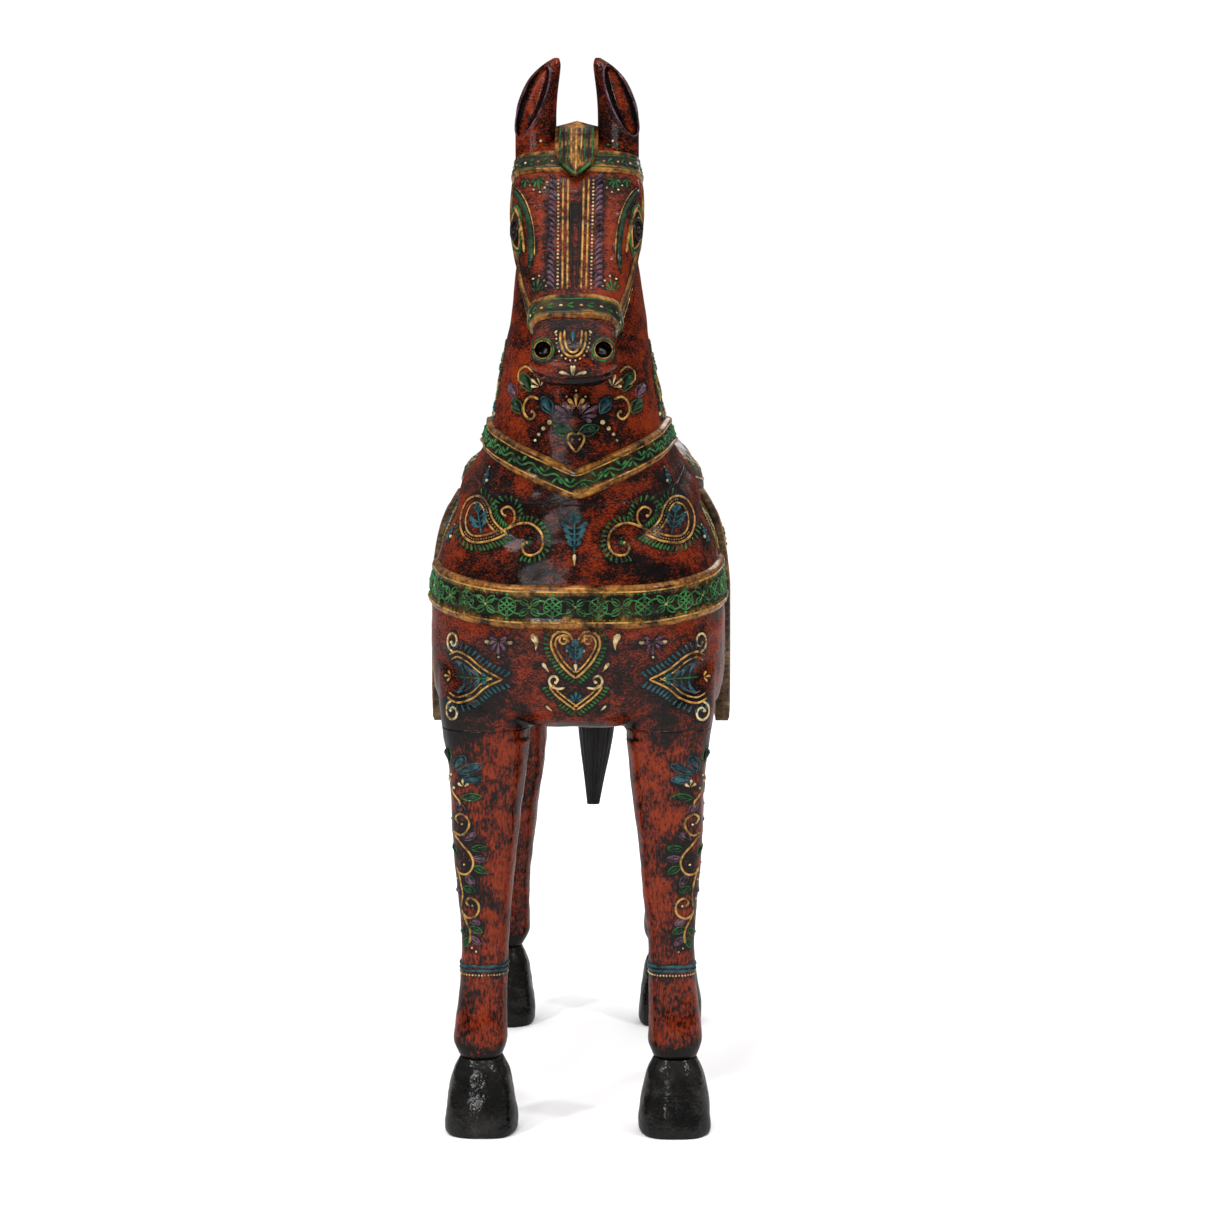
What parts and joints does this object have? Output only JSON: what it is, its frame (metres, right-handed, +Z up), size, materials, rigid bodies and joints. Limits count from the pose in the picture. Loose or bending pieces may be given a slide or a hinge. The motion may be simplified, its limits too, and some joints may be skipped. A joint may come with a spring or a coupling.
{
  "type": "carved wooden horse figure",
  "caption": "Tall standing horse carved from glued wooden blocks and painted, with raised harness bands, a saddle with hanging flaps, and separate ears, hooves and tail. It rests on its hooves.",
  "frame": {"origin": "on the floor, under the middle of the horse's bounding box", "axes": "+Z up; the horse looks along -Y; +X is the horse's own left"},
  "size_m": [0.267, 0.6619, 0.914],
  "materials": {
    "red_paint": "worn red paint under glossy lacquer",
    "gold_paint": "gold paint under lacquer",
    "black_paint": "glossy black paint",
    "saddle_paint": "dark paint with worn gold lines",
    "bare_wood": "bare turned wood"
  },
  "bodies": {
    "root": {"trunk_centre_board": "red_paint", "trunk_left_board": "red_paint", "trunk_right_board": "red_paint", "trunk_dowels": "bare_wood", "neck_block": "red_paint", "neck_dowels": "bare_wood", "head_block": "red_paint", "head_dowels": "bare_wood", "ear_left": "red_paint", "ear_right": "red_paint", "ear_pegs": "bare_wood", "mane_crest": "black_paint", "forelock": "gold_paint", "browband": "gold_paint", "noseband": "gold_paint", "cheek_strap_left": "gold_paint", "cheek_strap_right": "gold_paint", "neck_collar": "gold_paint", "breast_band": "gold_paint", "saddle_seat": "saddle_paint", "saddle_flap_left": "saddle_paint", "saddle_flap_right": "saddle_paint", "leg_front_left": "red_paint", "leg_front_right": "red_paint", "leg_rear_left": "red_paint", "leg_rear_right": "red_paint", "leg_dowels": "bare_wood", "hoof_front_left": "black_paint", "hoof_front_right": "black_paint", "hoof_rear_left": "black_paint", "hoof_rear_right": "black_paint", "hoof_dowels": "bare_wood", "tail": "black_paint", "tail_peg": "bare_wood"}
  },
  "joints": []
}
